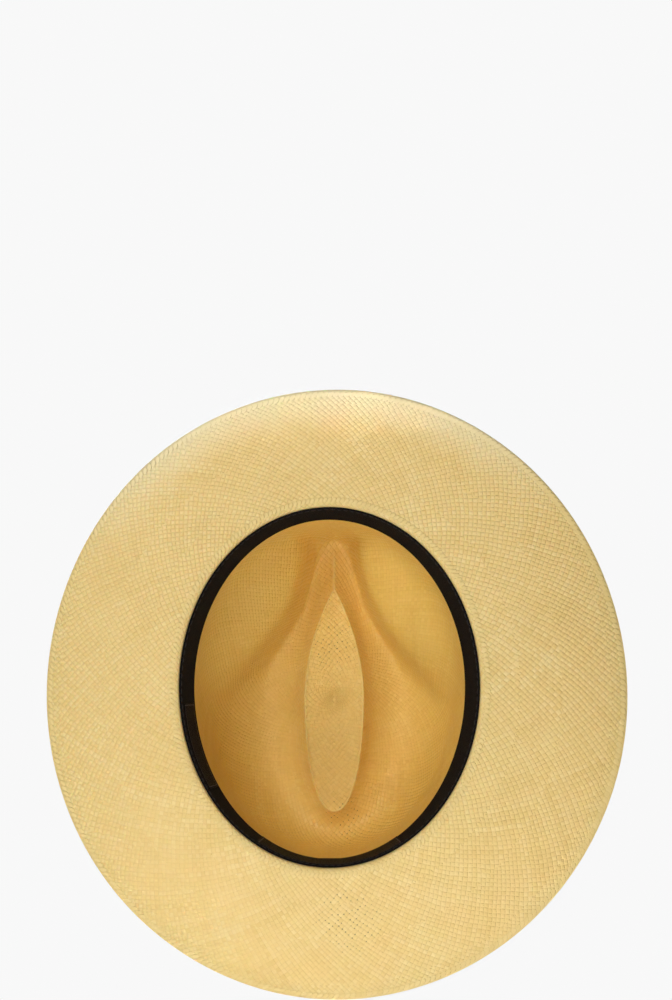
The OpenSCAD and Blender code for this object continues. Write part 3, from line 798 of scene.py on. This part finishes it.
def label(name, node, from_a, to_a, u_low, u_high, flat):
    a = np.radians(np.linspace(from_a, to_a, 49))

    def row(u, depth):
        return tape_face([u], a, TAPE_T + depth)[0]

    rows, heights = two_faces(u_low, u_high, 9, LABEL_T, row)
    piece = cloth_band(name, rows, heights, closed=False)
    finish, tree, surface = new_finish(name + "_satin", 0.6, 0.05)
    x, y, _ = parts(tree, uv_of(tree, "run"))
    wide = np.linalg.norm(np.diff(rows[4], axis=0), axis=1).sum()
    edge_x = calc(tree, "MINIMUM", x, calc(tree, "SUBTRACT", wide, x))
    edge_y = calc(tree, "MINIMUM", calc(tree, "SUBTRACT", y, u_low), calc(tree, "SUBTRACT", u_high, y))
    inset = calc(tree, "MINIMUM", edge_x, edge_y)
    from_line = calc(tree, "ABSOLUTE", calc(tree, "SUBTRACT", inset, BORDER_INSET))
    line = calc(tree, "LESS_THAN", from_line, BORDER_HALF)
    dash_run = calc(tree, "DIVIDE", calc(tree, "ADD", x, y), DASH_PITCH)
    dash = calc(tree, "GREATER_THAN", calc(tree, "FRACT", dash_run), DASH_GAP)
    warp = calc(tree, "SINE", calc(tree, "MULTIPLY", y, 2 * math.pi / WARP_PITCH))
    warp_no = calc(tree, "FLOOR", calc(tree, "DIVIDE", y, WARP_PITCH))
    float_run = calc(tree, "DIVIDE", calc(tree, "MULTIPLY_ADD", warp_no, FLOAT_STEP, x), FLOAT_LENGTH)
    floats = chance(tree, calc(tree, "FLOOR", float_run), warp_no)
    # Painted sheen: random satin floats are paler along the crest of each warp yarn.
    shine = calc(tree, "MULTIPLY", floats, step_up(tree, warp, -1.0, 1.0))
    colour = mix(tree, shine, LABEL_DARK, LABEL_SHEEN)
    colour = mix(tree, calc(tree, "MULTIPLY", line, dash), colour, LABEL_BORDER)
    plug(tree, surface.inputs["Base Color"], colour)
    plug(tree, surface.inputs["Normal"], relief(tree, calc(tree, "MULTIPLY_ADD", line, 0.8, warp), 0.00006))
    piece.data.materials.append(finish)
    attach(piece, "hat")
    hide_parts(node)


label("back_label_satin", "back_label", *BACK_LABEL, (0.0825, 0.024))
label("side_label_satin", "side_label", *SIDE_LABEL, (0.050, 0.020))


# Label stitches
# A short column of thin grey thread holds each end of a label. The stitches go through the label into
# the tape.

LABEL_THREAD_D = 0.32
LABEL_STITCHES = 9
GREY_THREAD = (0.10, 0.09, 0.095, 1)


def label_columns(from_a, to_a, u_low, u_high):
    pitch = (u_high - u_low) / LABEL_STITCHES
    sunk = TAPE_T + LABEL_T
    return [seam(a, a, u_low + pitch * (k + 0.2), u_low + pitch * (k + 0.8), sunk)
            for a in np.radians([from_a + 0.8, to_a - 0.8]) for k in range(LABEL_STITCHES)]


stitches("back_label_seam", label_columns(*BACK_LABEL), LABEL_THREAD_D, GREY_THREAD,
         "back_label_stitches", 0.1)
stitches("side_label_seam", label_columns(*SIDE_LABEL), LABEL_THREAD_D, GREY_THREAD,
         "side_label_stitches", 0.1)


# Size tab
# A loop of black satin tape, folded at its free end. Both ends are sewn in behind the sweatband, and it
# bends into the crown at the sweatband's upper edge.

TAB_W, TAB_L, TAB_ROOT = 11.5, 15.0, 4.0
TAB_LAYER, TAB_HALF_GAP = 0.22, 0.19
TAB_LEAN = math.radians(3)
TAB_ROW_RUN = 0.6
TAB_DARK = (0.004, 0.003, 0.005, 1)
TAB_SHEEN = (0.018, 0.013, 0.018, 1)
tab_fold = straw_face(np.array([BAND_U]), np.array([np.pi]))[0, 0] + [0, -0.85, 0.8]
tab_top = TAB_L - TAB_HALF_GAP
climb_steps = np.linspace(-TAB_ROOT - 0.3, tab_top, 26)[:-1]
path = [(TAB_HALF_GAP, z) for z in climb_steps]
path += [(TAB_HALF_GAP * math.cos(t), tab_top + TAB_HALF_GAP * math.sin(t))
         for t in np.radians(np.linspace(0, 180, 9))]
path += [(-TAB_HALF_GAP, z) for z in climb_steps[::-1]]


def tab_point(x, off, z):
    c, s = (math.cos(TAB_LEAN), math.sin(TAB_LEAN)) if z >= 0 else (1.0, 0.0)
    return tab_fold + [x, -off * c - z * s, z * c - off * s]


tab_across = np.linspace(-TAB_W / 2, TAB_W / 2, 9)
outer, inner = [], []
for k, (off, z) in enumerate(path):
    before, after = path[max(k - 1, 0)], path[min(k + 1, len(path) - 1)]
    way = np.array([after[0] - before[0], after[1] - before[1]])
    way /= np.linalg.norm(way)
    out = np.array([way[1], -way[0]]) * TAB_LAYER / 2
    outer.append([tab_point(x, off + out[0], z + out[1]) for x in tab_across])
    inner.append([tab_point(x, off - out[0], z - out[1]) for x in tab_across])
tab_run = TAB_ROW_RUN * np.arange(len(path))
tab = cloth_band("size_tab_loop", np.array(outer + inner[::-1]), np.concatenate([tab_run, tab_run[::-1]]),
                 closed=False)
tab_finish, tree, surface = new_finish("tab_satin", 0.5, 0.16)
x, y, _ = parts(tree, uv_of(tree, "run"))
warp = calc(tree, "SINE", calc(tree, "MULTIPLY", y, 2 * math.pi / WARP_PITCH))
floats = chance(tree, calc(tree, "FLOOR", calc(tree, "MULTIPLY", x, 1.1)),
                calc(tree, "FLOOR", calc(tree, "MULTIPLY", y, 3.0)))
# Painted sheen: random satin floats are paler along the crest of each warp yarn.
shine = calc(tree, "MULTIPLY", floats, step_up(tree, warp, -1.0, 1.0))
plug(tree, surface.inputs["Base Color"], mix(tree, shine, TAB_DARK, TAB_SHEEN))
plug(tree, surface.inputs["Normal"], relief(tree, warp, 0.00006))
tab.data.materials.append(tab_finish)
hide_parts("size_tab_root", "size_tab")
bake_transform(tab)


# Hat ribbon
# Black grosgrain ribbon, 38 mm wide, drawn tight round the outside of the crown and tacked at its edge.
# Its ribs run across its width, and its ends meet under the bow.

RIBBON_W, RIBBON_T = 38.0, 0.6
RIB_PITCH, RIBBON_WARP = 0.85, 0.28
RIBBON_DARK = (0.002, 0.002, 0.0022, 1)
RIBBON_LIT_CREST = (0.014, 0.0135, 0.0145, 1)
RIBBON_LOW = FOOT_U + 1
RIBBON_HIGH = RIBBON_LOW + RIBBON_W


def ribbon_row(u, depth):
    return skin([u], ROUND, STRAW_T + RIBBON_T - depth)[0]


rows, heights = two_faces(RIBBON_LOW, RIBBON_HIGH, 13, RIBBON_T, ribbon_row)
ribbon = cloth_band("crown_ribbon", rows, heights)
ribbon_finish, tree, surface = new_finish("black_grosgrain", 0.6, 0.25)
x, y, _ = parts(tree, uv_of(tree, "run"))
rib_run = calc(tree, "DIVIDE", x, RIB_PITCH)
rib_in = calc(tree, "MULTIPLY_ADD", calc(tree, "FRACT", rib_run), 2.0, -1.0)
rib = calc(tree, "SUBTRACT", 1.0, calc(tree, "MULTIPLY", rib_in, rib_in))
warp = calc(tree, "SINE", calc(tree, "MULTIPLY_ADD", y, 2 * math.pi / RIBBON_WARP,
                               calc(tree, "MULTIPLY", calc(tree, "FLOOR", rib_run), math.pi)))
fuzz = noise(tree, place_of(tree), 60.0, 3.0)
# Painted light and shade: paler on the ribs' crests, darker between them, varied by a random tone.
tone = calc(tree, "MULTIPLY", rib, calc(tree, "MULTIPLY_ADD", fuzz, 0.7, 0.35))
plug(tree, surface.inputs["Base Color"], mix(tree, tone, RIBBON_DARK, RIBBON_LIT_CREST))
plug(tree, surface.inputs["Normal"], relief(tree, calc(tree, "MULTIPLY_ADD", warp, 0.12, rib), 0.00022))
ribbon.data.materials.append(ribbon_finish)
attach(ribbon, "hat")
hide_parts("hat_ribbon")


# Ribbon tacks
# Six short stitches of black thread, evenly spaced. They go over the ribbon's upper edge into the straw
# and keep it from sliding up.

TACK_BLACK = (0.02, 0.02, 0.022, 1)


def outer_stitch(a, u_from, u_to, lift_from, lift_to):
    a = np.array([a])
    return (skin([u_from], a, lift_from)[0, 0], skin([u_to], a, lift_to)[0, 0],
            straw_normal(np.array([u_from]), a)[0, 0])


tacks = [outer_stitch(math.radians(a), RIBBON_HIGH - 2.4, RIBBON_HIGH + 0.6, STRAW_T + RIBBON_T, STRAW_T)
         for a in range(0, 360, 60)]
stitches("ribbon_tack_row", tacks, THREAD_D, TACK_BLACK, "ribbon_tacks", 0.2)


# Bow
# A flat bow of the same ribbon over its join, on the wearer's left: a tail with a slanted end, two
# flattened loops, a wrap round the middle, and four tacks through the ends of the loops.

BOW_A = 90.0
RIBBON_MID = (RIBBON_LOW + RIBBON_HIGH) / 2
TAIL_BASE = STRAW_T + RIBBON_T + 0.3
LOOP_BASE = TAIL_BASE + RIBBON_T + 0.15
LOOP_T = 2.6
BOW_SHARES = np.linspace(-1, 1, 13)


def bow_strip(name, node, path, layer):
    """Ribbon that runs along a path of (degrees from the bow's middle, half height, lift at the middle of
    its width, lift at its edges, slant), and that is layer thick."""
    centres = []
    for deg, half, lift, edge_lift, slant in path:
        heights = RIBBON_MID + half * BOW_SHARES
        lifts = edge_lift + (lift - edge_lift) * (1 - BOW_SHARES ** 2)
        angles = np.radians(BOW_A + deg + slant * BOW_SHARES)
        centres.append([skin([u], [a], up)[0, 0] for u, a, up in zip(heights, angles, lifts)])
    centres = np.array(centres)
    normal = np.cross(np.gradient(centres, axis=0), np.gradient(centres, axis=1))
    normal /= np.linalg.norm(normal, axis=2, keepdims=True)
    top = (centres + normal * layer / 2).transpose(1, 0, 2)
    low = (centres - normal * layer / 2).transpose(1, 0, 2)
    width = RIBBON_MID + RIBBON_W / 2 * BOW_SHARES
    piece = cloth_band(name, np.concatenate([top, low[::-1]]), np.concatenate([width, width[::-1]]),
                       closed=False)
    piece.data.materials.append(ribbon_finish)
    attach(piece, "hat")
    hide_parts(node)


TAIL_END, TAIL_SLANT = 29, 2.5
TAIL_HALF = 0.44 * RIBBON_W
tail_path = [(deg, TAIL_HALF, TAIL_BASE + 0.3, TAIL_BASE + 0.3, 0) for deg in np.arange(-20, 26, 2.5)]
tail_path.append((TAIL_END, TAIL_HALF, TAIL_BASE + 0.3, TAIL_BASE + 0.3, TAIL_SLANT))
bow_strip("bow_tail_strip", "bow_tail", tail_path, 0.5)

LOOP_DEG = np.array([4.5, 9, 13.5, 18, 22])
LOOP_HALF = np.array([0.33, 0.42, 0.46, 0.47, 0.45]) * RIBBON_W
LOOP_LIFT = np.array([0.55, 0.9, 1, 0.85, 0.4]) * LOOP_T


LOOP_START, LOOP_FOLD, FOLD_REACH = 4.5, 21.2, 0.8
UNDER_LIFT, UNDER_EDGE = LOOP_BASE + 0.3, LOOP_BASE + 0.28
FOLD_RISE, FOLD_EDGE_RISE = LOOP_LIFT[-1] + 0.2, 0.9
EDGE_SHARE = 0.45


def loop_path(way):
    """Out along the under layer, round the fold and back over the top, forward (-1) or back (+1)."""
    layer_degs = np.linspace(LOOP_START, LOOP_FOLD, 12)
    half = np.interp(layer_degs, LOOP_DEG, LOOP_HALF)
    lift = np.interp(layer_degs, LOOP_DEG, LOOP_LIFT)
    fold_half = np.interp(LOOP_FOLD + FOLD_REACH / 2, LOOP_DEG, LOOP_HALF)
    path = [(way * deg, h, UNDER_LIFT, UNDER_EDGE, 0) for deg, h in zip(layer_degs, half)]
    for t in np.radians([45, 90, 135]):
        turned = (1 - math.cos(t)) / 2
        path.append((way * (LOOP_FOLD + FOLD_REACH * math.sin(t)), fold_half, UNDER_LIFT + FOLD_RISE * turned,
                     UNDER_EDGE + FOLD_EDGE_RISE * turned, 0))
    path += [(way * deg, h, LOOP_BASE + up + 0.1, LOOP_BASE + EDGE_SHARE * up + 0.3, 0)
             for deg, h, up in zip(layer_degs[::-1], half[::-1], lift[::-1])]
    return path


bow_strip("bow_front_fold", "bow_front_loop", loop_path(-1), 0.45)
bow_strip("bow_back_fold", "bow_back_loop", loop_path(1), 0.45)

KNOT_END = 4.2
knot_path = []
for deg in np.linspace(-KNOT_END, KNOT_END, 9):
    from_middle = (deg / KNOT_END) ** 2
    knot_lift = LOOP_T * (1.25 - 0.35 * from_middle)
    knot_path.append((deg, (0.41 - 0.01 * from_middle) * RIBBON_W,
                      LOOP_BASE + knot_lift - 0.2 + 0.12 * math.cos(deg * 2.6),
                      LOOP_BASE + EDGE_SHARE * knot_lift + 0.2, 0))
bow_strip("bow_wrap", "bow_knot", knot_path, 0.6)

BOW_TACK_DEGS, BOW_TACK_SHARES = (-20.5, 20.5), (-0.3, 0.3)
BOW_TACK_L, BOW_TACK_LIFT = 2.2, LOOP_BASE + 1.4
bow_stitches = []
for a in np.radians(BOW_A + np.array(BOW_TACK_DEGS)):
    for share in BOW_TACK_SHARES:
        u = RIBBON_MID + share * RIBBON_W
        bow_stitches.append(outer_stitch(a, u, u + BOW_TACK_L, BOW_TACK_LIFT, BOW_TACK_LIFT))
stitches("bow_tack_row", bow_stitches, THREAD_D, TACK_BLACK, "bow_tacks", 0.25)


# Floor
# A plain pale floor under the brim, which runs into the backdrop's white. It is one-sided: it stands only for
# what comes from above it, and a view from below looks past it.

FLOOR_HALF = 6
FLOOR_GAP = 0.001
floor_mesh = bpy.data.meshes.new("studio_floor")
low_z = min(cad_box[0][2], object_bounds()[0][2]) - FLOOR_GAP
floor_corners = [(x * FLOOR_HALF, y * FLOOR_HALF, low_z) for x, y in ((-1, -1), (1, -1), (1, 1), (-1, 1))]
floor_mesh.from_pydata(floor_corners, [], [(0, 1, 2, 3)])
floor = bpy.data.objects.new("studio_floor", floor_mesh)
scene.collection.objects.link(floor)
BACKDROP_WHITE = 0.94
floor_finish, tree, surface = new_finish("pale_floor", 0.9, 0.1)
grain = noise(tree, place_of(tree), 3.0)
plug(tree, surface.inputs["Base Color"], mix(tree, grain, (0.86, 0.86, 0.86, 1), (0.88, 0.88, 0.88, 1)))
light_path = tree.nodes.new("ShaderNodeLightPath")
far = tree.nodes.new("ShaderNodeVectorMath")
far.operation = "LENGTH"
plug(tree, far.inputs[0], place_of(tree))
seen = calc(tree, "ADD", light_path.outputs["Is Camera Ray"],
            calc(tree, "ADD", light_path.outputs["Is Glossy Ray"], light_path.outputs["Is Transmission Ray"]))
backdrop_share = calc(tree, "MULTIPLY", step_up(tree, far.outputs["Value"], 0.3, 1.5),
                      calc(tree, "MINIMUM", seen, 1.0))
backdrop = tree.nodes.new("ShaderNodeEmission")
backdrop.inputs["Strength"].default_value = BACKDROP_WHITE
spread = tree.nodes.new("ShaderNodeMixShader")
plug(tree, spread.inputs[0], backdrop_share)
plug(tree, spread.inputs[1], surface.outputs[0])
plug(tree, spread.inputs[2], backdrop.outputs[0])
facing = tree.nodes.new("ShaderNodeNewGeometry")
from_above = calc(tree, "LESS_THAN", calc(tree, "ADD", light_path.outputs["Transparent Depth"],
                                          facing.outputs["Backfacing"]), 0.5)
clear = tree.nodes.new("ShaderNodeBsdfTransparent")
one_sided = tree.nodes.new("ShaderNodeMixShader")
plug(tree, one_sided.inputs[0], from_above)
plug(tree, one_sided.inputs[1], clear.outputs[0])
plug(tree, one_sided.inputs[2], spread.outputs[0])
plug(tree, tree.nodes["Material Output"].inputs["Surface"], one_sided.outputs[0])
floor.data.materials.append(floor_finish)


# Light and camera
# Soft lamps below and to the wearer's right, as in the photograph, with a strip on the brim's front edge and
# one on its back, and three lamps above for the other views. The camera looks straight up into the hat, with
# the front of the brim at the top of the picture.

def soft_lamp(name, place, watts, size, aim=(0.0, 0.0, 0.04)):
    data = bpy.data.lights.new(name, "AREA")
    data.energy = watts
    data.size = size
    lamp = bpy.data.objects.new(name, data)
    lamp.location = place
    lamp.rotation_euler = (Vector(aim) - Vector(place)).to_track_quat("-Z", "Y").to_euler()
    lamp.visible_camera = False
    scene.collection.objects.link(lamp)
    return data


def strip_lamp(name, place, watts, sizes, aim, spread):
    """A gridded strip, which lights only a narrow field round its aim."""
    data = soft_lamp(name, place, watts, sizes[0], aim)
    data.shape = "RECTANGLE"
    data.size_y = sizes[1]
    data.spread = math.radians(spread)


soft_lamp("side_lamp", (-0.58, -0.52, -1.56), 11.0, 0.7)
soft_lamp("side_back_lamp", (-0.75, 0.55, -0.8), 2.6, 0.6)
soft_lamp("back_lamp", (0.4, 1.1, -0.8), 7.0, 0.8)
soft_lamp("low_lamp", (0.0, 0.0, -1.6), 5.0, 1.0)
strip_lamp("front_edge_strip", (-0.02, 0.25, -1.5), 0.035, (0.2, 0.05), (-0.02, -0.205, 0.0), 5)
strip_lamp("back_strip", (0.04, 0.58, -1.5), 0.013, (0.35, 0.1), (0.04, 0.13, 0.0), 8)
soft_lamp("upper_lamp", (-0.7, -0.9, 1.5), 21, 0.9)
soft_lamp("upper_fill", (1.3, 0.3, 1.1), 9, 1.2)
soft_lamp("upper_back_fill", (-0.6, 1.3, 1.1), 9, 1.2)

AMBIENT = 0.09
world = bpy.data.worlds.new("studio")
scene.world = world
world.use_nodes = True
tree = world.node_tree
ambient = tree.nodes["Background"]
ambient.inputs["Color"].default_value = (1, 1, 1, 1)
ambient.inputs["Strength"].default_value = AMBIENT
backdrop = tree.nodes.new("ShaderNodeBackground")
backdrop.inputs["Color"].default_value = (BACKDROP_WHITE, BACKDROP_WHITE, BACKDROP_WHITE, 1)
light_path = tree.nodes.new("ShaderNodeLightPath")
mirrored = calc(tree, "MAXIMUM", light_path.outputs["Is Glossy Ray"],
                light_path.outputs["Is Transmission Ray"])
shown = calc(tree, "MAXIMUM", light_path.outputs["Is Camera Ray"], mirrored)
choose = tree.nodes.new("ShaderNodeMixShader")
plug(tree, choose.inputs[0], shown)
plug(tree, choose.inputs[1], ambient.outputs[0])
plug(tree, choose.inputs[2], backdrop.outputs[0])
plug(tree, tree.nodes["World Output"].inputs["Surface"], choose.outputs[0])
scene.view_settings.view_transform = "Standard"

CAMERA_FAR = 1.2
PHOTO_PIXEL = 0.000541
PHOTO_TALL = 1000
camera_data = bpy.data.cameras.new("camera")
camera_data.lens = CAMERA_FAR / (PHOTO_PIXEL * PHOTO_TALL) * camera_data.sensor_width
camera_data.shift_y = 0.193
camera_data.clip_end = 100
camera = bpy.data.objects.new("camera", camera_data)
camera.location = (0.0035, 0.003, -CAMERA_FAR)
camera.rotation_euler = (math.pi, 0, 0)
scene.collection.objects.link(camera)
scene.camera = camera
